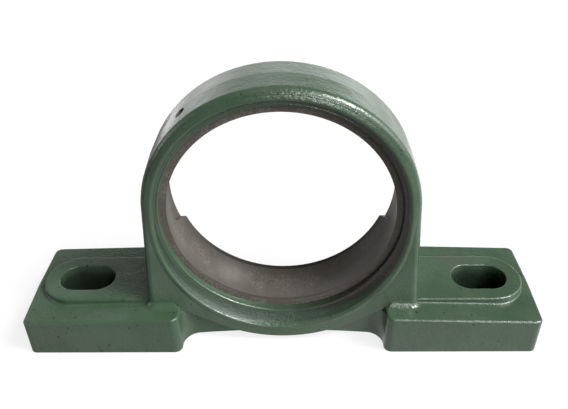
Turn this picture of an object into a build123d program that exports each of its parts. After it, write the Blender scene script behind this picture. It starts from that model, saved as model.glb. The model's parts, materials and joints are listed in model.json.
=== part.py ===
"""Cast-iron pillow block housing: the empty housing that holds a spherical insert bearing.

The origin is on the base plane under the middle of the casting. +X runs along the base,
+Y runs back along the bore, +Z is up. Lengths are in millimetres and angles in degrees.
The casting is made as a pattern maker sees it. One quarter of it is shaped, on the side of
+X and -Y, and mirrored to the other three. The parting plane is Y = 0. The loading slots
and the grease hole, which aren't symmetric, are cut in the whole casting.
"""

import os
from math import cos, hypot, radians, sin, sqrt, tan

from build123d import *

# Base and bolts
base_length = 329.0
base_depth = 75.0
bolt_spacing = 260.7
slot_length = 36.3
slot_width = 23.3
slot_edge_radius = 0.8

# Bore, spherical seat and the cast mouth round it
centre_height = 94.3
seat_diameter = 140.0
seat_width = 33.8
machined_face_height = 2.0
mouth_start_angle = 20.0
mouth_end_angle = 45.0
mouth_cove_radius = 5.0
mouth_edge_radius = 1.6

# Ring, flanks and their front face, which leans forward below the bore's centre
ring_wall = 13.2
ring_width = 40.0
ring_edge_radius = 4.5
flank_splay = 2.9
face_lean = 4.4
lean_blend_radius = 300.0
casting_draft = 1.5

# Under the ring, between the feet
shield_clearance = 2.7
shield_tail_angle = 27.0
shield_edge_radius = 1.0
shield_end_setback = 1.0
web_width = 43.4
web_flare_radius = 10.0
arch_rise = 4.2
arch_start = 0.4

# Feet
foot_inner_span = 130.6
foot_end_height = 25.8
foot_top_slope = 1.6
foot_end_draft = 1.45
foot_outer_corner_radius = 4.5
foot_inner_corner_radius = 5.0
foot_top_edge_radius = 1.6
flank_root_radius = 4.5

# Bolt pads
pad_width = 42.8
pad_height = 31.2
pad_edge_radius = 1.2
pad_root_radius = 1.2

# Cored pockets under the shoulders
pocket_length = 26.0
pocket_width = 32.0
pocket_depth = 15.0
pocket_to_slot_wall = 14.0
pocket_corner_radius = 6.0

# Loading slots at the back of the seat
loading_slot_depth = 1.4
loading_slot_start = 4.0
loading_slot_clearance = 4.2
loading_slot_flare = 24.0

# Grease hole, drilled and tapped through the ring
grease_hole_diameter = 7.0
grease_hole_angle = 42.0
grease_hole_offset = 5.0

# How far one volume runs into the next, and how near an edge lies to the face that it is sought on
lap = 4.0
near = 0.3

os.makedirs("parts", exist_ok=True)

half_length = base_length / 2
half_depth = base_depth / 2
seat_radius = seat_diameter / 2
ring_radius = seat_radius + ring_wall
half_ring = ring_width / 2
half_seat = seat_width / 2
foot_inner = foot_inner_span / 2
shield_radius = centre_height - shield_clearance
deepest_face = half_ring + centre_height * tan(radians(face_lean))
top_height = centre_height + ring_radius
foot_root = foot_end_height / 2
root_x = foot_inner + shield_end_setback
rim_radius = ring_radius - half_ring * tan(radians(casting_draft))
bore_axis = Axis((0, 0, centre_height), (0, 1, 0))


def foot_top(x: float) -> float:
    """Height of the sloping foot top at the distance x from the middle."""
    return foot_end_height + (half_length - x) * tan(radians(foot_top_slope))


def reach(point: Vector) -> float:
    """Distance of a point from the bore's axis."""
    return hypot(point.X, point.Z - centre_height)


def on_rim(edge: Edge) -> bool:
    """True for an edge of the head where its front face meets the ring or the flank."""
    middle = edge.position_at(0.5)
    on_ring = middle.Z > centre_height and reach(middle) > rim_radius - near
    on_flank = middle.X > root_x + lap and middle.Z > foot_root + lap
    return middle.Y < near - half_ring and (on_ring or on_flank)


def on_foot_top(edge: Edge) -> bool:
    """True for an edge round the top of the foot, apart from the one on the parting plane."""
    middle = edge.position_at(0.5)
    return middle.Z > foot_top(middle.X) - near and middle.Y < -near


def on_flank_root(edge: Edge) -> bool:
    """True for an edge where the flank and its front face stand on the top of the foot."""
    middle = edge.position_at(0.5)
    low = abs(middle.Z - foot_top(middle.X)) < near
    on_outline = middle.X < flank_foot_x + near and middle.Y > near - deepest_face
    return low and on_outline and middle.Y < -near


def on_pad_top(edge: Edge) -> bool:
    """True for an edge round the top of the pad that stays outside the flank."""
    middle = edge.position_at(0.5)
    return middle.Z > pad_height - near and middle.Y < -near and middle.X > pad_start + near


def on_pad_root(edge: Edge) -> bool:
    """True for an edge where the side of the pad rises from the top of the foot."""
    middle = edge.position_at(0.5)
    low = abs(middle.Z - foot_top(middle.X)) < near
    on_outline = hypot(max(middle.X - slot_arc_centre, 0), middle.Y) < pad_width / 2 + near
    return low and on_outline and middle.Y < -near and middle.X > pad_start + near


def on_front_face(edge: Edge) -> bool:
    """True for an edge that lies in the front face of the head."""
    middle = edge.position_at(0.5)
    depth = half_ring + max(centre_height - middle.Z, 0) * tan(radians(face_lean))
    return abs(middle.Y + depth) < near and middle.X > near


def on_shield_edge(edge: Edge) -> bool:
    """True for an edge where the front face of the shield meets its round underside."""
    middle = edge.position_at(0.5)
    on_outline = abs(reach(middle) - shield_radius) < lap
    return on_outline and middle.Y < -web_width / 2 - near and near < middle.X < root_x


# The bore's core: the spherical seat, the machined face beside it and the flared cast mouth.
mouth_start = radians(mouth_start_angle)
mouth_end = radians(mouth_end_angle)
machined_radius = seat_radius + machined_face_height
seat_edge_radius = sqrt(seat_radius**2 - half_seat**2)
cove_radius = machined_radius + mouth_cove_radius * (sin(mouth_end) - sin(mouth_start))
cove_depth = half_seat + mouth_cove_radius * (cos(mouth_start) - cos(mouth_end))
mouth_depth = deepest_face + lap
mouth_radius = cove_radius + (mouth_depth - cove_depth) / tan(mouth_end)

with BuildPart() as bore_core:
    with BuildSketch(Plane.YZ):
        with BuildLine():
            Line((0, centre_height), (0, centre_height + seat_radius))
            RadiusArc(
                (0, centre_height + seat_radius),
                (-half_seat, centre_height + seat_edge_radius),
                -seat_radius,
            )
            Line(
                (-half_seat, centre_height + seat_edge_radius),
                (-half_seat, centre_height + machined_radius),
            )
            RadiusArc(
                (-half_seat, centre_height + machined_radius),
                (-cove_depth, centre_height + cove_radius),
                mouth_cove_radius,
            )
            Polyline(
                (-cove_depth, centre_height + cove_radius),
                (-mouth_depth, centre_height + mouth_radius),
                (-mouth_depth, centre_height),
                (0, centre_height),
            )
        make_face()
    revolve(axis=bore_axis)

# The head: one quarter of the ring, its flank and the shield below it.
tail = radians(shield_tail_angle)
tail_x = shield_radius * sin(tail)
tail_z = centre_height - shield_radius * cos(tail)
root_z = tail_z + (root_x - tail_x) * tan(tail)
splay = radians(flank_splay)
tangent_x = ring_radius * cos(splay)
tangent_z = centre_height + ring_radius * sin(splay)
flank_foot_x = tangent_x + (tangent_z - foot_root) * tan(splay)

with BuildPart() as head:
    with BuildSketch(Plane.XZ):
        with BuildLine():
            CenterArc((0, centre_height), ring_radius, flank_splay, 90 - flank_splay)
            Polyline(
                (tangent_x, tangent_z),
                (flank_foot_x, foot_root),
                (root_x, foot_root),
                (root_x, root_z),
                (tail_x, tail_z),
            )
            CenterArc((0, centre_height), shield_radius, -90, shield_tail_angle)
            Line((0, shield_clearance), (0, top_height))
        make_face()
    extrude(amount=deepest_face)
    cast_sides = faces().filter_by(lambda f: f.center().X > near and -deepest_face < f.center().Y < 0)
    draft(cast_sides, neutral_plane=Plane.XZ, angle=casting_draft)
    with BuildSketch(Plane.YZ):
        with BuildLine():
            Polyline(
                (0, 0),
                (0, top_height),
                (-half_ring, top_height),
                (-half_ring, centre_height),
                (-deepest_face, 0),
                close=True,
            )
        make_face()
        bend = vertices().filter_by(lambda v: hypot(v.X + half_ring, v.Y - centre_height) < near)
        fillet(bend, lean_blend_radius)
    extrude(amount=half_length, mode=Mode.INTERSECT)
    fillet(edges().filter_by(on_rim), ring_edge_radius)
    fillet(edges().filter_by(on_shield_edge), shield_edge_radius)
    add(bore_core.part, mode=Mode.SUBTRACT)
    fillet(edges(Select.NEW).filter_by(on_front_face), mouth_edge_radius)

# The web, set back from the shield. It flares into the foot's end and has a shallow arch below it.
half_web = web_width / 2
web_front = half_web + web_flare_radius
web_tail_z = tail_z + shield_edge_radius
web_root_z = web_tail_z + (root_x - tail_x) * tan(tail)
arch_sagitta = arch_rise - arch_start
arch_radius = (root_x**2 + arch_sagitta**2) / (2 * arch_sagitta)

with BuildPart() as web:
    with BuildSketch(Plane.XY):
        with BuildLine():
            Polyline(
                (foot_inner - web_flare_radius, -half_web),
                (0, -half_web),
                (0, 0),
                (root_x, 0),
                (root_x, -web_front),
                (foot_inner, -web_front),
            )
            RadiusArc((foot_inner, -web_front), (foot_inner - web_flare_radius, -half_web), -web_flare_radius)
        make_face()
    extrude(amount=web_root_z)
    with BuildSketch(Plane.XZ):
        with BuildLine():
            RadiusArc((0, arch_rise), (root_x, arch_start), arch_radius)
            Polyline(
                (root_x, arch_start),
                (root_x, web_root_z),
                (tail_x, web_tail_z),
                (0, web_tail_z),
                (0, arch_rise),
            )
        make_face()
    extrude(amount=half_depth, mode=Mode.INTERSECT)

# One foot: a block with drafted ends and a sloping top, and a raised bolt pad along it.
slab_x = foot_inner - lap
foot_corner = half_length - half_depth * tan(radians(foot_end_draft))
slot_centre = bolt_spacing / 2
slot_arc_centre = slot_centre + (slot_length - slot_width) / 2
pad_start = tangent_x - ring_edge_radius

with BuildPart() as foot:
    with BuildSketch(Plane.XY):
        with BuildLine():
            Polyline(
                (foot_inner, 0),
                (foot_inner, -half_depth),
                (foot_corner, -half_depth),
                (half_length, 0),
                close=True,
            )
        make_face()
        fillet(vertices().group_by(Axis.Y)[0].sort_by(Axis.X)[0], foot_inner_corner_radius)
        fillet(vertices().group_by(Axis.Y)[0].sort_by(Axis.X)[-1], foot_outer_corner_radius)
    extrude(amount=pad_height)
    with BuildSketch(Plane.XZ):
        with BuildLine():
            Polyline(
                (slab_x, 0),
                (half_length + lap, 0),
                (half_length + lap, foot_top(half_length + lap)),
                (slab_x, foot_top(slab_x)),
                close=True,
            )
        make_face()
    extrude(amount=half_depth + lap, mode=Mode.INTERSECT)
    fillet(edges().filter_by(on_foot_top), foot_top_edge_radius)
    with BuildSketch(Plane.XY.offset(foot_root)):
        with BuildLine():
            Polyline((slot_arc_centre, -pad_width / 2), (pad_start, -pad_width / 2), (pad_start, 0))
            Line((pad_start, 0), (slot_arc_centre + pad_width / 2, 0))
            CenterArc((slot_arc_centre, 0), pad_width / 2, -90, 90)
        make_face()
    extrude(amount=pad_height - foot_root)
    fillet(edges().filter_by(on_pad_top), pad_edge_radius)
    fillet(edges().filter_by(on_pad_root), pad_root_radius)

# The fillet where the flank stands on the foot, made on a plain slab and run out at the foot's end.
run_out_x = foot_inner + foot_top_edge_radius
run_out_z = foot_top(run_out_x)
fillet_reach = flank_root_radius + lap
fillet_end_x = flank_foot_x + fillet_reach

with BuildPart() as flank_root:
    add(head.part)
    with BuildSketch(Plane.XZ):
        with BuildLine():
            Polyline(
                (slab_x, foot_root),
                (fillet_end_x, foot_root),
                (fillet_end_x, foot_top(fillet_end_x)),
                (slab_x, foot_top(slab_x)),
                close=True,
            )
        make_face()
    extrude(amount=half_depth - lap)
    fillet(edges().filter_by(on_flank_root), flank_root_radius)
    with BuildSketch(Plane.XZ):
        with BuildLine():
            Polyline(
                (run_out_x, foot_root),
                (run_out_x, run_out_z),
                (run_out_x + fillet_reach, run_out_z + fillet_reach),
                (fillet_end_x, run_out_z + fillet_reach),
                (fillet_end_x, foot_root),
                close=True,
            )
        make_face()
    extrude(amount=half_depth - lap, mode=Mode.INTERSECT)

with BuildPart() as quarter:
    add(head.part)
    add(web.part)
    add(foot.part)
    add(flank_root.part)
    add(bore_core.part, mode=Mode.SUBTRACT)

# The whole casting, mirrored about the bore and about the parting plane, then cut.
slot_floor_radius = seat_radius + loading_slot_depth
slot_front_height = seat_width + loading_slot_clearance
slot_run = deepest_face + lap - loading_slot_start
slot_back_height = slot_front_height + 2 * slot_run * tan(radians(loading_slot_flare))
pocket_centre = slot_centre - slot_length / 2 - pocket_to_slot_wall - pocket_length / 2
hole_direction = Vector(-sin(radians(grease_hole_angle)), 0, cos(radians(grease_hole_angle)))
hole_start = Vector(0, -grease_hole_offset, centre_height) + hole_direction * (seat_radius - lap)

with BuildPart() as loading_slots:
    with BuildSketch(Plane.XZ.offset(-loading_slot_start)):
        with Locations((0, centre_height)):
            Rectangle(2 * slot_floor_radius, slot_front_height)
    with BuildSketch(Plane.XZ.offset(-loading_slot_start - slot_run)):
        with Locations((0, centre_height)):
            Rectangle(2 * slot_floor_radius, slot_back_height)
    loft()
    with BuildSketch(Plane.XZ.offset(-loading_slot_start)):
        with Locations((0, centre_height)):
            Circle(slot_floor_radius)
    extrude(amount=-slot_run, mode=Mode.INTERSECT)

with BuildPart() as housing:
    add(quarter.part)
    mirror(about=Plane.YZ)
    mirror(about=Plane.XZ)
    add(loading_slots.part, mode=Mode.SUBTRACT)
    with BuildSketch(Plane.XY):
        with Locations((slot_centre, 0), (-slot_centre, 0)):
            SlotOverall(slot_length, slot_width)
    extrude(amount=pad_height + lap, mode=Mode.SUBTRACT)
    fillet(edges(Select.NEW).filter_by(lambda e: e.position_at(0.5).Z > pad_height - near), slot_edge_radius)
    with BuildSketch(Plane.XY):
        with Locations((pocket_centre, 0), (-pocket_centre, 0)):
            RectangleRounded(pocket_length, pocket_width, pocket_corner_radius)
    extrude(amount=pocket_depth, mode=Mode.SUBTRACT)
    with BuildSketch(Plane(origin=hole_start, z_dir=hole_direction)):
        Circle(grease_hole_diameter / 2)
    extrude(amount=ring_radius - seat_radius + 2 * lap, mode=Mode.SUBTRACT)

housing.part.label = "housing"
export_step(housing.part, "parts/housing.step")
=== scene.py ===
"""Finishes a cast-iron pillow block housing: gloss enamel on a sand-cast skin, bore and base machined bare.

The casting's own frame is kept throughout: metres, +X along the base, +Y back along the bore, +Z up, with
the origin on the base plane under the middle of the casting. The front is the side towards -Y.
"""

import json
import logging
import math
from dataclasses import dataclass
from enum import Enum

import bpy
import numpy as np
from mathutils import Matrix, Vector


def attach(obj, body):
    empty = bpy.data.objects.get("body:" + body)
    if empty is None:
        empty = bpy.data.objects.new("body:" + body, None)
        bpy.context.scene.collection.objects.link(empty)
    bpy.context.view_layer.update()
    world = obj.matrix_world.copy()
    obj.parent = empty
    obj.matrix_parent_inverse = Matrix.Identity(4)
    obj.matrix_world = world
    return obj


LOG = logging.getLogger("housing")
MM = 0.001
WHITE = (1.0, 1.0, 1.0, 1.0)
MEAN_NOISE = 0.5
IMAGE_WIDTH = 568  # pixels
SENSOR_WIDTH = 36.0  # millimetres

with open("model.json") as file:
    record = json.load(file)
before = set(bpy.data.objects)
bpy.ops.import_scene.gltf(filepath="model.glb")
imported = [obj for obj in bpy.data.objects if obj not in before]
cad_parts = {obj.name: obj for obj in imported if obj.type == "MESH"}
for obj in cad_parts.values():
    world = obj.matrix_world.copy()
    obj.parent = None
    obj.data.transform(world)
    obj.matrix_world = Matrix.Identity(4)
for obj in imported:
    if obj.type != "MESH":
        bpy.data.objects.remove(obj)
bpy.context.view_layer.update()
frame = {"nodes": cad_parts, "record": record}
MOUNTS = {mount["name"]: mount for mount in frame["record"]["mounts"]}


# ----------------------------------------------------------------------------- the casting's sizes


@dataclass(frozen=True)
class Sizes:
    """The casting's own sizes that its finishes and its coves follow, in metres and degrees.

    Those of its mounts come from the frame.
    """

    bore_height: float = MOUNTS["bearing_seat"]["pos_m"][2]
    seat_radius: float = 70.0 * MM
    seat_width: float = 33.8 * MM
    side_face_height: float = 2.0 * MM
    face_depth: float = 20.0 * MM
    face_lean: float = 4.4
    hole_axis: tuple = tuple(MOUNTS["grease_hole"]["axis"])
    hole_depth: float = MOUNTS["grease_hole"]["pos_m"][1]
    hole_radius: float = MOUNTS["grease_hole"]["dims"]["r_mm"] * MM
    slot_middle: float = MOUNTS["bolt_slots"]["dims"]["spacing_x_mm"] / 2 * MM
    slot_half_length: float = MOUNTS["bolt_slots"]["dims"]["slot_length_mm"] / 2 * MM
    slot_half_width: float = MOUNTS["bolt_slots"]["dims"]["hole_r_mm"] * MM


SIZES = Sizes()


# ----------------------------------------------------------------------------- shader helpers


class Value:
    """What a node's socket gives. Python's operators on it add Math nodes."""

    def __init__(self, graph: "Graph", socket: bpy.types.NodeSocket) -> None:
        """Wraps one output socket of a graph."""
        self.graph = graph
        self.socket = socket

    def _math(self, operation: str, *terms: "Value | float") -> "Value":
        """Adds one Math node whose inputs are the terms in turn."""
        return self.graph.node("ShaderNodeMath", {"operation": operation}, dict(enumerate(terms)))

    def __add__(self, other: "Value | float") -> "Value":
        """Sum."""
        return self._math("ADD", self, other)

    __radd__ = __add__

    def __sub__(self, other: "Value | float") -> "Value":
        """Difference."""
        return self._math("SUBTRACT", self, other)

    def __rsub__(self, other: "Value | float") -> "Value":
        """Difference, the other way round."""
        return self._math("SUBTRACT", other, self)

    def __mul__(self, other: "Value | float") -> "Value":
        """Product."""
        return self._math("MULTIPLY", self, other)

    __rmul__ = __mul__

    def __abs__(self) -> "Value":
        """The value without its sign."""
        return self._math("ABSOLUTE", self)

    def root(self) -> "Value":
        """Square root."""
        return self._math("SQRT", self)

    def exponential(self) -> "Value":
        """The number e to the power of the value."""
        return self._math("EXPONENT", self)

    def at_least(self, other: "Value | float") -> "Value":
        """The larger of two values."""
        return self._math("MAXIMUM", self, other)

    def rise(self, low: float, high: float) -> "Value":
        """A smooth step.

        Args:
            low: the value up to which the step is 0.
            high: the value from which it is 1.

        Returns:
            The step, from 0 to 1.
        """
        settings = {"interpolation_type": "SMOOTHSTEP", "clamp": True}
        inputs = {"Value": self, "From Min": low, "From Max": high, "To Min": 0.0, "To Max": 1.0}
        return self.graph.node("ShaderNodeMapRange", settings, inputs)


class Graph:
    """The node tree of one material or world, and the few ways that this file adds nodes to it."""

    def __init__(self, owner: bpy.types.ID) -> None:
        """Empties the owner's node tree.

        Args:
            owner: a material or a world.
        """
        owner.use_nodes = True
        self.tree = owner.node_tree
        self.tree.nodes.clear()

    def node(self, kind: str, settings: dict, inputs: dict, output: "int | str" = 0) -> "Value | None":
        """Adds any node.

        Args:
            kind: the node's Blender type.
            settings: its attributes, set before its sockets.
            inputs: socket name or number to a number, a colour or a Value.
            output: the name or number of the output that is returned.

        Returns:
            The chosen output, or None from a node that has none.
        """
        made = self.tree.nodes.new(kind)
        for name, value in settings.items():
            setattr(made, name, value)
        for name, value in inputs.items():
            socket = made.inputs[name]
            if isinstance(value, Value):
                self.tree.links.new(value.socket, socket)
            else:
                socket.default_value = value
        return Value(self, made.outputs[output]) if made.outputs else None

    def place(self) -> Value:
        """Object coordinates, in metres."""
        return self.node("ShaderNodeTexCoord", {}, {}, "Object")

    def axes(self, place: Value) -> tuple:
        """The x, y and z of a place."""
        return tuple(self.node("ShaderNodeSeparateXYZ", {}, {0: place}, axis) for axis in "XYZ")

    def distance(self, place: Value, point: tuple) -> Value:
        """Distance from a place to a fixed point."""
        return self.node("ShaderNodeVectorMath", {"operation": "DISTANCE"}, {0: place, 1: point}, "Value")

    def reach(self, x: Value, z: Value, height: float) -> Value:
        """Distance from an axis that runs along y at a height."""
        above = z - height
        return (x * x + above * above).root()

    def ray(self, kind: str) -> Value:
        """1 on rays of a kind, named as the Light Path node names it, and 0 on others."""
        return self.node("ShaderNodeLightPath", {}, {}, kind)

    def blend(self, factor: Value, first: "Value | tuple", second: "Value | tuple") -> Value:
        """Mixes two colours.

        Args:
            factor: from 0, which gives the first colour, to 1, which gives the second.
            first: a colour.
            second: a colour.

        Returns:
            The mixed colour.
        """
        settings = {"data_type": "RGBA", "blend_type": "MIX", "clamp_factor": True}
        return self.node("ShaderNodeMix", settings, {0: factor, 6: first, 7: second}, 2)

    def bump(self, height: Value, depth: float, below: "Value | None" = None) -> Value:
        """A bumped normal.

        Args:
            height: from 0 to 1.
            depth: how many metres a height of 1 stands for.
            below: a normal that this bump is added to.

        Returns:
            The normal.
        """
        inputs = {"Height": height, "Strength": 1.0, "Distance": depth}
        if below is not None:
            inputs["Normal"] = below
        return self.node("ShaderNodeBump", {}, inputs, "Normal")

    def glow(self, strength: "Value | float") -> Value:
        """White light given off by a surface."""
        return self.node("ShaderNodeEmission", {}, {"Color": WHITE, "Strength": strength})

    def surface(self, inputs: dict) -> None:
        """Ends a material with a Principled shader whose sockets are given by name."""
        shader = self.node("ShaderNodeBsdfPrincipled", {"distribution": "MULTI_GGX"}, inputs)
        self.node("ShaderNodeOutputMaterial", {"target": "ALL"}, {"Surface": shader})


@dataclass(frozen=True)
class Mottle:
    """A mottled pattern of fractal noise.

    The size is about that of its largest lumps, in metres. The detail is how many layers of finer
    noise are added, and the harshness how strong each is against the one before. The levels are the
    noise up to which the pattern is 0 and from which it is 1.
    """

    size: float
    detail: float
    harshness: float
    levels: tuple = (0.0, 1.0)

    def noise(self, graph: Graph, place: Value) -> Value:
        """The noise itself, from 0 to 1.

        Args:
            graph: the material's graph.
            place: Object coordinates.

        Returns:
            The noise.
        """
        scale = 1.0 / self.size
        inputs = {"Vector": place, "Scale": scale, "Detail": self.detail, "Roughness": self.harshness}
        return graph.node("ShaderNodeTexNoise", {"noise_dimensions": "3D"}, inputs, "Fac")

    def pattern(self, graph: Graph, place: Value) -> Value:
        """The noise, stepped smoothly between its two levels."""
        return self.noise(graph, place).rise(*self.levels)


@dataclass(frozen=True)
class Spot:
    """A round spot. It takes its full share of the colour in its core, and less out to its rim.

    Its core and its rim are distances from its middle, in metres.
    """

    middle: tuple
    core: float
    rim: float
    share: float

    def cover(self, graph: Graph, place: Value) -> Value:
        """The share of the colour that the spot takes at a place."""
        return (1.0 - graph.distance(place, self.middle).rise(self.core, self.rim)) * self.share


# ----------------------------------------------------------------------------- finishes


@dataclass(frozen=True)
class CastEnamel:
    """Gloss enamel sprayed over a sand-cast skin, which stays rough under it and gathers some dust. Painted
    shade darkens its hollow, its groove, its slot walls and one corner.

    A pair of lengths gives where a smooth step starts and ends. Distances round the bore are
    measured from its axis.
    """

    colour: tuple = (0.041, 0.074, 0.043, 1.0)
    pale_colour: tuple = (0.053, 0.088, 0.056, 1.0)
    dust_colour: tuple = (0.080, 0.074, 0.059, 1.0)
    # the dirt colour also darkens the slot walls as painted shade; the next three colours are painted shade
    # in the groove, the hollow and a corner
    dirt_and_shade_colour: tuple = (0.016, 0.024, 0.016, 1.0)
    groove_shade_colour: tuple = (0.015, 0.013, 0.011, 1.0)
    hollow_shade_colour: tuple = (0.012, 0.032, 0.015, 1.0)
    corner_shade_colour: tuple = (0.029, 0.019, 0.013, 1.0)
    refraction: float = 1.6

    # pale patches, dust in wider patches, and pits that hold dirt
    patches: Mottle = Mottle(size=26 * MM, detail=3.0, harshness=0.55, levels=(0.35, 0.70))
    roughness: float = 0.12
    patch_roughness: float = 0.22
    dust: Mottle = Mottle(size=34 * MM, detail=4.0, harshness=0.6, levels=(0.50, 0.72))
    dust_share: float = 0.35
    pits: Mottle = Mottle(size=2.6 * MM, detail=1.0, harshness=0.4, levels=(0.72, 0.78))

    # orange peel, and the sand's grain, which was ground over outside on the ring's upper half
    peel: Mottle = Mottle(size=7.0 * MM, detail=2.0, harshness=0.5)
    peel_depth: float = 0.20 * MM
    grain: Mottle = Mottle(size=1.8 * MM, detail=3.0, harshness=0.6)
    grain_depth: float = 0.30 * MM
    ground_reach: tuple = (82.3 * MM, 83.2 * MM)
    ground_height: tuple = (94.3 * MM, 120.0 * MM)
    ground_share: float = 0.65

    # the hollow of the cove, which ends behind the front face and is darkened as painted shade, and painted
    # shade in the groove beside the bore
    face_inset: tuple = (0.3 * MM, 1.0 * MM)
    hollow_start: tuple = (74.3 * MM, 75.0 * MM)
    hollow_end: tuple = (79.8 * MM, 81.2 * MM)
    hollow_roughness: float = 0.28
    groove_shade_side: tuple = (-30 * MM, 55 * MM)
    groove_shade_edge: tuple = (71.8 * MM, 75.0 * MM)
    groove_shade_spread: float = 4.6 * MM
    groove_roughness: float = 0.12

    # painted shade in the corner between the web and the right foot, and on the walls of the bolt slots
    corner_shade: Spot = Spot(middle=(61 * MM, -16 * MM, 7 * MM), core=3 * MM, rim=13 * MM, share=0.75)
    slot_ends: tuple = (0.45 * MM, 0.65 * MM)
    slot_sides: tuple = (0.25 * MM, 0.45 * MM)
    slot_top: tuple = (23 * MM, 30 * MM)
    slot_shade_share: float = 0.7

    def behind_face(self, graph: Graph, place: Value) -> Value:
        """Finds what lies behind the front and back faces, which lean out below the bore's axis.

        Args:
            graph: the material's graph.
            place: Object coordinates.

        Returns:
            1 behind the faces and 0 on them.
        """
        _, y, z = graph.axes(place)
        slope = math.tan(math.radians(SIZES.face_lean))
        face = SIZES.face_depth + (SIZES.bore_height - z).at_least(0.0) * slope
        return (face - abs(y)).rise(*self.face_inset)

    def hollow(self, graph: Graph, place: Value) -> Value:
        """Finds the hollow round the bore, whose colour is darkened as painted shade and whose enamel is
        made duller.

        Args:
            graph: the material's graph.
            place: Object coordinates.

        Returns:
            1 in the hollow and 0 elsewhere.
        """
        x, _, z = graph.axes(place)
        reach = graph.reach(x, z, SIZES.bore_height)
        inside = self.behind_face(graph, place)
        return inside * reach.rise(*self.hollow_start) * (1.0 - reach.rise(*self.hollow_end))

    def grainy(self, graph: Graph, place: Value) -> Value:
        """Tells how much of the sand's grain shows: less outside on the ring's upper half, ground over.

        Args:
            graph: the material's graph.
            place: Object coordinates.

        Returns:
            1 where all of the grain shows.
        """
        x, _, z = graph.axes(place)
        reach = graph.reach(x, z, SIZES.bore_height)
        return 1.0 - reach.rise(*self.ground_reach) * z.rise(*self.ground_height) * self.ground_share

    def groove_shade(self, graph: Graph, place: Value) -> Value:
        """Tells how far painted shade darkens the groove beside the bore: not at the left, widest at the
        right.

        Args:
            graph: the material's graph.
            place: Object coordinates.

        Returns:
            1 under the painted shade and 0 on plain enamel.
        """
        x, _, z = graph.axes(place)
        side = x.rise(*self.groove_shade_side)
        reach = graph.reach(x, z, SIZES.bore_height) - side * self.groove_shade_spread
        cover = (1.0 - reach.rise(*self.groove_shade_edge)) * side
        return cover * self.behind_face(graph, place)

    def shaded_slots(self, graph: Graph, place: Value) -> Value:
        """Tells how far painted shade darkens the walls of the bolt slots: fully low down, not at the top.

        Args:
            graph: the material's graph.
            place: Object coordinates.

        Returns:
            The share of the dark colour.
        """
        x, y, z = graph.axes(place)
        off_middle = abs(abs(x) - SIZES.slot_middle)
        along = 1.0 - (off_middle - SIZES.slot_half_length).rise(*self.slot_ends)
        across = 1.0 - (abs(y) - SIZES.slot_half_width).rise(*self.slot_sides)
        return along * across * (1.0 - z.rise(*self.slot_top)) * self.slot_shade_share

    def shade(self, graph: Graph, place: Value, patches: Value, groove_shade: Value, hollow: Value) -> Value:
        """Lays the colours over one another: patches, dust, painted shade in the hollow, on the slot walls
        and in a corner, pits, and painted shade in the groove.

        Args:
            graph: the material's graph.
            place: Object coordinates.
            patches: 1 where the enamel is pale.
            groove_shade: 1 under the groove's painted shade.
            hollow: 1 in the hollow round the bore, which is darkened as painted shade.

        Returns:
            The colour.
        """
        clean = graph.blend(patches, self.colour, self.pale_colour)
        worn = graph.blend(self.dust.pattern(graph, place) * self.dust_share, clean, self.dust_colour)
        # painted shade: the hollow round the bore is darkened
        shaded = graph.blend(hollow, worn, self.hollow_shade_colour)
        # painted shade: the walls of the bolt slots are darkened low down
        slots_shaded = graph.blend(self.shaded_slots(graph, place), shaded, self.dirt_and_shade_colour)
        # painted shade: a brown darkening in the corner between the web and the right foot
        corner_shaded = graph.blend(self.corner_shade.cover(graph, place), slots_shaded, self.corner_shade_colour)
        pitted = graph.blend(self.pits.pattern(graph, place), corner_shaded, self.dirt_and_shade_colour)
        # painted shade: the groove beside the bore is darkened, most at the right
        return graph.blend(groove_shade, pitted, self.groove_shade_colour)

    def material(self) -> bpy.types.Material:
        """Builds the enamel's material.

        Returns:
            The material.
        """
        made = bpy.data.materials.new("cast_enamel")
        graph = Graph(made)
        place = graph.place()
        patches = self.patches.pattern(graph, place)
        groove_shade, hollow = self.groove_shade(graph, place), self.hollow(graph, place)
        gloss = self.roughness + (self.patch_roughness - self.roughness) * patches
        dull = hollow * (1.0 - groove_shade) * self.hollow_roughness
        grain = (self.grain.noise(graph, place) - MEAN_NOISE) * self.grainy(graph, place)
        peel = graph.bump(self.peel.noise(graph, place), self.peel_depth)
        graph.surface(
            {
                "Base Color": self.shade(graph, place, patches, groove_shade, hollow),
                "Roughness": gloss + groove_shade * self.groove_roughness + dull,
                "Normal": graph.bump(grain, self.grain_depth, peel),
                "IOR": self.refraction,
            }
        )
        return made


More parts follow.
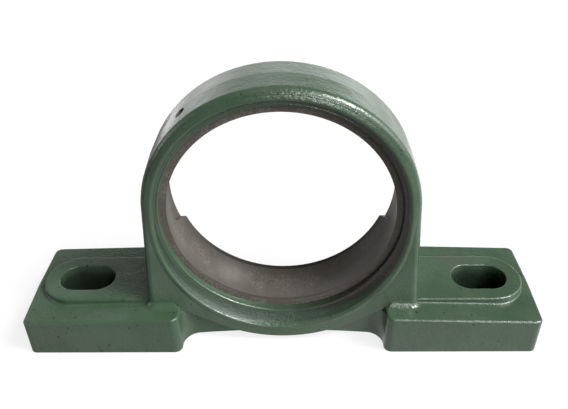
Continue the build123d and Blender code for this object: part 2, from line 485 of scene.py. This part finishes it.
@dataclass(frozen=True)
class MachinedIron:
    """Grey iron turned bare, dull and lightly rusting, with fine tool rings round the bore; its right side
    is darkened as painted shade and one spot lightened as a painted highlight.

    A pair of lengths gives where a smooth step starts and ends. Depths are measured from the middle
    of the seat along the bore.
    """

    colour: tuple = (0.146, 0.141, 0.122, 1.0)
    stain_colour: tuple = (0.082, 0.070, 0.056, 1.0)
    # the next colour is a painted highlight; the last colour also darkens the right side as painted shade
    painted_highlight_colour: tuple = (0.213, 0.205, 0.184, 1.0)
    edge_dark_colour: tuple = (0.061, 0.053, 0.044, 1.0)
    dark_colour: tuple = (0.029, 0.025, 0.021, 1.0)
    roughness: float = 0.46
    metallic: float = 0.08
    gloss: float = 0.33

    # pores, stains of first rusting, and a pale spot painted on as a highlight
    pores: Mottle = Mottle(size=1.1 * MM, detail=2.0, harshness=0.5, levels=(0.36, 0.66))
    pore_roughness: float = 0.12
    stains: Mottle = Mottle(size=13 * MM, detail=4.0, harshness=0.6, levels=(0.42, 0.60))
    stain_share: float = 0.75
    painted_highlight: Spot = Spot(middle=(-34 * MM, 5 * MM, 34 * MM), core=2 * MM, rim=19 * MM, share=0.5)

    # the rings that the tool left, as a wave texture
    ring_pitch: float = 0.45 * MM
    ring_depth: float = 0.012 * MM
    ring_wander: float = 0.6
    ring_detail: float = 1.0
    bands_at_unit_scale: float = 3.2

    # darker colour towards the edges of the seat, and a dark line beside them
    seat_edge: tuple = (16.75 * MM, 16.80 * MM)
    edge_dark_depth: tuple = (2.0 * MM, 15.0 * MM)
    edge_dark_share: float = 0.65
    line_depth: tuple = (13.9 * MM, 14.6 * MM)
    line_side: tuple = (-62 * MM, -40 * MM)

    # painted shade, which darkens the right side, and less at the back of it
    dark_side: tuple = (0 * MM, 58 * MM)
    dark_on_seat: float = 0.85
    dark_on_side_face: float = 0.75
    light_back: tuple = (2 * MM, 12 * MM)
    light_share: float = 0.75

    def shade(self, graph: Graph, place: Value, pores: Value) -> Value:
        """Lays the colours over one another.

        Pores and stains speckle the iron, and one pale spot is painted on as a highlight. The colour grows
        darker towards the edges of the seat. The right side is darkened as painted shade, less at the back
        of it, and a dark line runs round close to the edges, except at the far left.

        Args:
            graph: the material's graph.
            place: Object coordinates.
            pores: the noise of the pores.

        Returns:
            The colour.
        """
        x, y, _ = graph.axes(place)
        depth = abs(y)
        on_seat = 1.0 - depth.rise(*self.seat_edge)
        speckled = graph.blend(pores.rise(*self.pores.levels), self.stain_colour, self.colour)
        stains = self.stains.pattern(graph, place) * self.stain_share
        stained = graph.blend(stains, speckled, self.stain_colour)
        # painted highlight: a pale spot on the left of the bore
        painted_highlight = graph.blend(self.painted_highlight.cover(graph, place), stained, self.painted_highlight_colour)
        # the colour grows darker towards the edges of the seat
        edge_dark = depth.rise(*self.edge_dark_depth) * on_seat * self.edge_dark_share
        edge_darkened = graph.blend(edge_dark, painted_highlight, self.edge_dark_colour)
        # painted shade: the right side of the seat and side faces is darkened
        side = x.rise(*self.dark_side) * (1.0 - y.rise(*self.light_back) * self.light_share)
        dark = side * (self.dark_on_side_face + (self.dark_on_seat - self.dark_on_side_face) * on_seat)
        side_shaded = graph.blend(dark, edge_darkened, self.dark_colour)
        line = depth.rise(*self.line_depth) * on_seat * x.rise(*self.line_side)
        return graph.blend(line, side_shaded, self.dark_colour)

    def tool_rings(self, graph: Graph, place: Value) -> Value:
        """The height of the tool's fine rings, as a wave along the bore.

        Args:
            graph: the material's graph.
            place: Object coordinates.

        Returns:
            The height, from 0 to 1.
        """
        settings = {"wave_type": "BANDS", "bands_direction": "Y", "wave_profile": "SIN"}
        inputs = {
            "Vector": place,
            "Scale": 1 / self.ring_pitch / self.bands_at_unit_scale,
            "Distortion": self.ring_wander,
            "Detail": self.ring_detail,
        }
        return graph.node("ShaderNodeTexWave", settings, inputs, "Fac")

    def material(self) -> bpy.types.Material:
        """Builds the bare iron's material.

        Returns:
            The material.
        """
        made = bpy.data.materials.new("machined_iron")
        graph = Graph(made)
        place = graph.place()
        pores = self.pores.noise(graph, place)
        graph.surface(
            {
                "Base Color": self.shade(graph, place, pores),
                "Metallic": self.metallic,
                "Specular IOR Level": self.gloss,
                "Roughness": self.roughness + self.pore_roughness * (pores - MEAN_NOISE),
                "Normal": graph.bump(self.tool_rings(graph, place), self.ring_depth),
            }
        )
        return made


# ----------------------------------------------------------------------------- casting and coves


class Zone(Enum):
    """The differently finished surfaces of the casting, in the order of its material slots."""

    CAST = 0
    MACHINED = 1


@dataclass
class Casting:
    """The one-piece housing, as the frame gives it, with each of its faces given a finish."""

    node: str = "housing"
    margin: float = 0.05 * MM
    enamel: CastEnamel = CastEnamel()
    iron: MachinedIron = MachinedIron()

    def dress(self, nodes: dict) -> bpy.types.Object:
        """Gives each face of the casting its finish.

        Args:
            nodes: the frame's nodes by name.

        Returns:
            The casting's object.
        """
        piece = nodes[self.node]
        mesh = piece.data
        mesh.materials.clear()
        mesh.materials.append(self.enamel.material())
        mesh.materials.append(self.iron.material())
        mesh.polygons.foreach_set("material_index", self.zones(mesh))
        mesh.update()
        return piece

    def zones(self, mesh: bpy.types.Mesh) -> np.ndarray:
        """Sorts the triangles by finish: bare where all three corners lie on a machined surface.

        A corner is on the seat or its side faces when it is within their width and no further from
        the bore's axis than their rim, in the grease hole when its distance from the hole's axis is
        the hole's radius, and on the base when its height is zero.

        Args:
            mesh: the casting's mesh, of triangles.

        Returns:
            The number of the material slot of each triangle.
        """
        points = np.empty(len(mesh.vertices) * 3, np.float32)
        mesh.vertices.foreach_get("co", points)
        x, y, z = points.reshape(-1, 3).astype(float).T
        corners = np.empty(len(mesh.polygons) * 3, np.int32)
        mesh.polygons.foreach_get("vertices", corners)
        corners = corners.reshape(-1, 3)
        height = z - SIZES.bore_height
        rim = SIZES.seat_radius + SIZES.side_face_height + self.margin
        in_seat = (np.hypot(x, height) < rim) & (np.abs(y) < SIZES.seat_width / 2 + self.margin)
        outwards, _, upwards = SIZES.hole_axis
        beside = x * upwards - height * outwards
        off_axis = np.hypot(beside, y - SIZES.hole_depth)
        beyond = x * outwards + height * upwards > 0
        in_hole = (off_axis < SIZES.hole_radius + self.margin) & beyond
        on_base = z < self.margin
        is_bare = np.any([flags[corners].all(axis=1) for flags in (in_seat, in_hole, on_base)], axis=0)
        return np.where(is_bare, Zone.MACHINED.value, Zone.CAST.value).astype(np.int32)


@dataclass
class MouthCove:
    """The cast cove round the bore, from a lip beside the machined face out to a rounded crest.

    It lies on the flared mouth of the casting, in front and, mirrored, behind. Its section is a
    curve guided by corners, each a reach from the bore's axis and a depth from the middle of the
    seat. Both its ends are sunk in the casting. Corners given as pairs are millimetres outwards and
    forwards from the point that they follow.
    """

    # the front face, and the flare that the cove lies on
    blend_radius: float = 300.0 * MM
    flare_reach: float = 73.83 * MM
    flare_depth: float = 18.06 * MM
    flare_rounds: int = 8

    # outwards from the rim of the machined face: a wall, the lip and the hollow
    wall_corners: tuple = ((0.05, -0.80), (0.05, 0.10), (0.20, 0.60))
    lip_outwards: float = 1.1 * MM
    lip_rise: float = 1.9 * MM
    lip_widens: float = 7 / 60
    lip_deepens: float = 0.29
    lip_corners: tuple = ((-1.10, -0.90), (-0.80, 0.00), (-0.20, 0.35), (0.60, 0.15))
    hollow_shares: tuple = (0.25, 0.45, 0.65, 0.85)
    hollow_sag: float = 0.05
    hollow_drop: float = 0.62 * MM

    # the crest, its shoulder and toe on the front face, the sunk end, and the way back inside
    crest_shift: float = 0.5 * MM
    crest_inset: float = 0.75 * MM
    crest_corners: tuple = ((0.00, -0.55), (0.25, -0.10), (0.60, 0.42), (1.30, 0.70))
    shoulder_corners: tuple = ((2.20, 0.48),)
    toe_corners: tuple = ((3.20, 0.12),)
    end_outwards: float = 3.4 * MM
    end_corners: tuple = ((0.00, -0.25), (0.00, -1.20))
    back_share: float = 0.2
    back_corners: tuple = ((2.50, -0.80),)

    # how finely it is divided
    steps_round: int = 400
    steps_per_corner: int = 5

    def face(self, height: np.ndarray) -> np.ndarray:
        """Depth of the casting's front face.

        It is flat above, leans forward below, and an arc blends the two: a parabola of the same
        curvature stands for the arc.

        Args:
            height: over the bore's axis.

        Returns:
            The depth in front of the middle of the seat.
        """
        slope = math.tan(math.radians(SIZES.face_lean))
        half = self.blend_radius * math.tan(math.radians(SIZES.face_lean) / 2)
        blend = (half - np.clip(height, -half, half)) ** 2 / (2 * self.blend_radius)
        return SIZES.face_depth + blend + np.maximum(-half - height, 0) * slope

    def crest(self, angle: np.ndarray) -> np.ndarray:
        """Finds where the 45 degree flare meets the front face.

        The flare gains as much in reach as in depth, so the reach is that of its start plus the
        depth of the face over it. The face's depth depends on the reach in turn, so the sum is
        worked out several times over, each time nearer.

        Args:
            angle: round the bore, from +X towards +Z.

        Returns:
            The distance from the bore's axis.
        """
        reach = np.full_like(angle, self.flare_reach)
        for _ in range(self.flare_rounds):
            reach = self.flare_reach + self.face(reach * np.sin(angle)) - self.flare_depth
        return reach

    def profile(self, angle: np.ndarray) -> np.ndarray:
        """The corners of the section.

        From the machined face a short wall rises to the lip. The lip follows the front face below
        the bore by a share of its lean. From the lip a hollow runs to the crest along a parabola,
        whose middle lies below the chord by a share of the chord's length. The crest rounds over,
        and the section runs out under the front face and back inside the casting.

        Args:
            angle: round the bore, from +X towards +Z.

        Returns:
            The corners, as (angle, corner, (reach, depth)).
        """
        crest = self.crest(angle) + self.crest_shift
        top = self.face(crest * np.sin(angle))
        out = self.face((crest + self.end_outwards) * np.sin(angle))
        rim = np.full_like(angle, SIZES.seat_radius + SIZES.side_face_height)
        floor = np.full_like(angle, SIZES.seat_width / 2)
        deeper = top - SIZES.face_depth
        lip = floor + self.lip_rise + self.lip_deepens * deeper
        lip_reach = rim + self.lip_outwards + self.lip_widens * deeper
        crest_reach = crest - self.crest_inset
        run, rise = crest_reach - lip_reach, top - self.hollow_drop - lip
        shares = np.array(self.hollow_shares)[:, None]
        dip = 4 * self.hollow_sag * shares * (1 - shares)
        hollow = zip(lip_reach + run * shares + dip * rise, lip + rise * shares - dip * run)

        def beside(reach: np.ndarray, depth: np.ndarray, steps: tuple) -> list:
            """Corners at fixed steps outwards and forwards from a point of the section."""
            return [(reach + outwards * MM, depth + forwards * MM) for outwards, forwards in steps]

        corners = [
            *beside(rim, floor, self.wall_corners),
            *beside(lip_reach, lip, self.lip_corners),
            *hollow,
            *beside(crest_reach, top, self.crest_corners),
            *beside(crest_reach, (top + out) / 2, self.shoulder_corners),
            *beside(crest_reach, out, self.toe_corners),
            *beside(crest + self.end_outwards, out, self.end_corners),
            (crest, floor + self.back_share * np.hypot(run, rise)),
            *beside(rim, floor, self.back_corners),
        ]
        return np.stack([np.stack(corner, axis=-1) for corner in corners], axis=1)

    def surface(self) -> tuple:
        """The cove's grid: a closed cubic B-spline guided by the section's corners, carried round.

        A point of the spline is a weighted mean of four corners in a row. Where t is the share of
        the way from the second to the third, the weights are (1 - t) cubed, 3 t cubed - 6 t squared
        + 4, -3 t cubed + 3 t squared + 3 t + 1, and t cubed, each divided by 6. The point's reach
        times the cosine and sine of the angle give x and the height over the bore's axis.

        Returns:
            The vertices as an array in metres, and the quads.
        """
        angle = np.linspace(0, 2 * math.pi, self.steps_round, endpoint=False)
        corners = self.profile(angle)
        count = corners.shape[1]
        at = np.arange(count * self.steps_per_corner) / self.steps_per_corner
        second, t = np.floor(at).astype(int), at % 1
        weights = (
            (1 - t) ** 3 / 6,
            (3 * t**3 - 6 * t**2 + 4) / 6,
            (-3 * t**3 + 3 * t**2 + 3 * t + 1) / 6,
            t**3 / 6,
        )
        section = sum(
            corners[:, (second + shift - 1) % count] * weight[None, :, None]
            for shift, weight in enumerate(weights)
        )
        reach, depth = section[..., 0], section[..., 1]
        x = reach * np.cos(angle)[:, None]
        z = reach * np.sin(angle)[:, None] + SIZES.bore_height
        points = np.stack([x, -depth, z], axis=-1).reshape(-1, 3)
        number = np.arange(reach.size).reshape(reach.shape)
        next_row = np.roll(number, -1, axis=0)
        turns = [number, next_row, np.roll(next_row, -1, axis=1), np.roll(number, -1, axis=1)]
        return points, np.stack(turns, axis=-1).reshape(-1, 4)

    def build(self, material: bpy.types.Material) -> list:
        """Makes the front and the back cove.

        Args:
            material: the enamel.

        Returns:
            The two objects.
        """
        points, quads = self.surface()
        made = []
        for name, turn in (("front_mouth_cove", 1), ("back_mouth_cove", -1)):
            mesh = bpy.data.meshes.new(name)
            mesh.from_pydata((points * (1, turn, 1)).tolist(), [], quads[:, ::turn].tolist())
            mesh.polygons.foreach_set("use_smooth", np.ones(len(quads), bool))
            mesh.materials.append(material)
            mesh.update()
            piece = bpy.data.objects.new(name, mesh)
            bpy.context.scene.collection.objects.link(piece)
            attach(piece, "root")
            made.append(piece)
        return made


# ----------------------------------------------------------------------------- studio


@dataclass(frozen=True)
class Softbox:
    """A soft round light at an endless distance, brightest at its middle.

    Its azimuth is measured from the front towards the right and its elevation above the floor, in
    degrees. The brightness falls off as exp(sharpness * (cos(angle) - 1)).
    """

    azimuth: float
    elevation: float
    sharpness: float
    strength: float

    def direction(self) -> tuple:
        """The unit vector towards the light."""
        turn, rise = math.radians(self.azimuth), math.radians(self.elevation)
        return (math.sin(turn) * math.cos(rise), -math.cos(turn) * math.cos(rise), math.sin(rise))

    def brightness(self, graph: Graph, view: Value) -> Value:
        """The light's brightness in the direction of view.

        Args:
            graph: the world's graph.
            view: the direction, as a unit vector.

        Returns:
            The brightness.
        """
        inputs = {0: view, 1: self.direction()}
        nearness = graph.node("ShaderNodeVectorMath", {"operation": "DOT_PRODUCT"}, inputs, "Value")
        return ((nearness - 1.0) * self.sharpness).exponential() * self.strength


@dataclass(frozen=True)
class Pool:
    """A soft round pool of light on the floor. It fades as exp(-(distance / radius) squared)."""

    x: float
    y: float
    radius: float
    strength: float

    def brightness(self, graph: Graph, place: Value) -> Value:
        """The pool's brightness at a place on the floor.

        Args:
            graph: the floor's graph.
            place: the place, in metres.

        Returns:
            The brightness.
        """
        share = graph.distance(place, (self.x, self.y, 0.0)) * (1 / self.radius)
        return (share * share * -1.0).exponential() * self.strength


@dataclass
class Studio:
    """A pale floor and backdrop with soft lights, and the camera that looks down at the casting."""

    # the camera, in metres and degrees, and its lens in pixels of the render
    camera_place: tuple = (7.308 * MM, -323.787 * MM, 317.938 * MM)
    camera_pitch: float = 34.464
    camera_yaw: float = -0.15
    camera_roll: float = 0.27
    focal_pixels: float = 643.04
    off_centre_pixels: tuple = (8.52, -7.33)
    clip_distances: tuple = (0.01, 20.0)

    # the world: an even light and the softboxes
    ambient: float = 0.015
    softboxes: tuple = (
        # at the right and high, a wide glow round a bright core, and more of the glow lower down
        Softbox(azimuth=72, elevation=48, sharpness=14, strength=2.56),
        Softbox(azimuth=72, elevation=48, sharpness=110, strength=57.1),
        Softbox(azimuth=75, elevation=26, sharpness=14, strength=3.16),
        # wide ones near the horizon, at the right, in front and behind, and one higher up behind
        Softbox(azimuth=90, elevation=6, sharpness=14, strength=1.5),
        Softbox(azimuth=30, elevation=6, sharpness=14, strength=1.05),
        Softbox(azimuth=180, elevation=6, sharpness=14, strength=0.75),
        Softbox(azimuth=195, elevation=26, sharpness=14, strength=0.45),
        # a row of narrower ones low behind, from right to left, and one at the left
        Softbox(azimuth=150, elevation=4, sharpness=60, strength=1.58),
        Softbox(azimuth=165, elevation=8, sharpness=60, strength=1.28),
        Softbox(azimuth=180, elevation=14, sharpness=60, strength=0.68),
        Softbox(azimuth=205, elevation=4, sharpness=50, strength=1.35),
        Softbox(azimuth=228, elevation=3, sharpness=40, strength=1.28),
        Softbox(azimuth=270, elevation=14, sharpness=60, strength=2.26),
        # small ones for the highlights, low and high in front and low at the left
        Softbox(azimuth=16, elevation=20, sharpness=260, strength=25.6),
        Softbox(azimuth=30, elevation=44, sharpness=150, strength=15.8),
        Softbox(azimuth=285, elevation=2, sharpness=100, strength=3.76),
    )

    # the white backdrop: it starts where a direction's y rises through the first pair, and ends
    # where its z rises through the second
    backdrop_back: tuple = (0.2, 0.6)
    backdrop_top: tuple = (0.15, 0.30)

    # the floor: its colour, how far that is lifted to white, and how far back its white part starts
    floor_size: float = 6.0
    floor_colour: tuple = (0.8, 0.8, 0.8, 1)
    floor_lift: float = 0.8
    floor_back: tuple = (0.35, 0.60)
    pools: tuple = (
        # far behind, left and right
        Pool(x=-0.45, y=0.60, radius=0.22, strength=2.41),
        Pool(x=0.45, y=0.60, radius=0.22, strength=1.58),
        # behind the casting and at its right
        Pool(x=0.15, y=0.15, radius=0.22, strength=1.13),
        Pool(x=0.45, y=-0.25, radius=0.22, strength=1.13),
        Pool(x=0.45, y=0.15, radius=0.22, strength=0.9),
        # in front and at its left
        Pool(x=-0.15, y=-0.25, radius=0.22, strength=0.6),
        Pool(x=-0.45, y=0.15, radius=0.22, strength=0.38),
        Pool(x=0.0, y=-0.12, radius=0.12, strength=0.09),
    )

    # the dark floor under the feet: its two ends along the base, and its sides
    foot_inner: tuple = (90 * MM, 100 * MM)
    foot_outer: tuple = (155 * MM, 165 * MM)
    foot_side: tuple = (30 * MM, 40 * MM)

    def camera(self) -> bpy.types.Object:
        """Sets up the camera from its pitch below the horizon, its yaw and its roll, in degrees.

        Returns:
            The camera's object.
        """
        turns = (self.camera_pitch, self.camera_yaw, self.camera_roll)
        pitch, yaw, roll = (math.radians(turn) for turn in turns)
        ahead = Vector((math.sin(yaw) * math.cos(pitch), math.cos(yaw) * math.cos(pitch), -math.sin(pitch)))
        right = Vector((math.cos(yaw), -math.sin(yaw), 0))
        down = ahead.cross(right)
        turned_right = right * math.cos(roll) + down * math.sin(roll)
        turned_down = down * math.cos(roll) - right * math.sin(roll)
        data = bpy.data.cameras.new("camera")
        data.sensor_width = SENSOR_WIDTH
        data.lens = self.focal_pixels * SENSOR_WIDTH / IMAGE_WIDTH
        data.shift_x = -self.off_centre_pixels[0] / IMAGE_WIDTH
        data.shift_y = self.off_centre_pixels[1] / IMAGE_WIDTH
        data.clip_start, data.clip_end = self.clip_distances
        made = bpy.data.objects.new("camera", data)
        rotation = Matrix((turned_right, -turned_down, -ahead)).transposed()
        made.matrix_world = Matrix.Translation(self.camera_place) @ rotation.to_4x4()
        bpy.context.scene.collection.objects.link(made)
        bpy.context.scene.camera = made
        return made

    def world(self) -> None:
        """Lights the casting with the softboxes.

        The camera sees white behind it. Mirrored and refracted rays see a white backdrop too, low
        behind the casting.
        """
        world = bpy.data.worlds.new("studio")
        bpy.context.scene.world = world
        graph = Graph(world)
        view = graph.node("ShaderNodeTexCoord", {}, {}, "Generated")
        light = self.ambient
        for softbox in self.softboxes:
            light = light + softbox.brightness(graph, view)
        _, back, up = graph.axes(view)
        backdrop = back.rise(*self.backdrop_back) * (1.0 - up.rise(*self.backdrop_top))
        mirrored = graph.ray("Is Glossy Ray") + graph.ray("Is Transmission Ray")
        light = light.at_least(backdrop * mirrored)
        seen = graph.ray("Is Camera Ray")
        strength = seen + (1 - seen) * light
        white = graph.node("ShaderNodeBackground", {}, {"Color": WHITE, "Strength": strength})
        graph.node("ShaderNodeOutputWorld", {}, {"Surface": white})

    def floor(self) -> bpy.types.Object:
        """Lays a pale floor at the base plane, which shows white but keeps a soft shadow.

        The camera sees a matt floor lifted towards white. Other rays see the pools of light, and
        mirrored and refracted rays see white on the floor far behind as well.

        Returns:
            The floor's object.
        """
        half = self.floor_size / 2
        corners = [(-half, -half, 0), (half, -half, 0), (half, half, 0), (-half, half, 0)]
        mesh = bpy.data.meshes.new("floor")
        mesh.from_pydata(corners, [], [(0, 1, 2, 3)])
        made = bpy.data.objects.new("floor", mesh)
        bpy.context.scene.collection.objects.link(made)
        material = bpy.data.materials.new("floor")
        graph = Graph(material)
        place = graph.place()
        pools = 0.0
        for pool in self.pools:
            pools = pools + pool.brightness(graph, place)
        mirrored = graph.ray("Is Glossy Ray") + graph.ray("Is Transmission Ray")
        behind = graph.axes(place)[1].rise(*self.floor_back) * mirrored
        bounce = graph.glow(pools.at_least(behind) * self.outside_feet(graph, place))
        matt = graph.node("ShaderNodeBsdfDiffuse", {}, {"Color": self.floor_colour})
        pale = graph.node("ShaderNodeMixShader", {}, {0: self.floor_lift, 1: matt, 2: graph.glow(1.0)})
        seen = graph.ray("Is Camera Ray")
        shown = graph.node("ShaderNodeMixShader", {}, {0: seen, 1: bounce, 2: pale})
        graph.node("ShaderNodeOutputMaterial", {}, {"Surface": shown})
        mesh.materials.append(material)
        return made

    def outside_feet(self, graph: Graph, place: Value) -> Value:
        """Keeps the floor dark under the feet.

        Args:
            graph: the floor's graph.
            place: the place on the floor.

        Returns:
            0 under the feet and 1 away from them.
        """
        x, y, _ = graph.axes(place)
        along, across = abs(x), abs(y)
        under = along.rise(*self.foot_inner) * (1.0 - along.rise(*self.foot_outer))
        return 1.0 - under * (1.0 - across.rise(*self.foot_side))

    def build(self) -> None:
        """Sets the colour transform and adds the world, the floor and the camera."""
        bpy.context.scene.view_settings.view_transform = "Standard"
        self.world()
        self.floor()
        self.camera()


def main() -> None:
    """Builds the classes in order and reports each piece."""
    logging.basicConfig(level=logging.INFO, format="%(name)s: %(message)s")
    casting = Casting().dress(frame["nodes"])
    LOG.info("%s has %d triangles", casting.name, len(casting.data.polygons))
    for cove in MouthCove().build(casting.data.materials[Zone.CAST.value]):
        LOG.info("%s has %d quads", cove.name, len(cove.data.polygons))
    Studio().build()


if __name__ == "__main__":
    main()
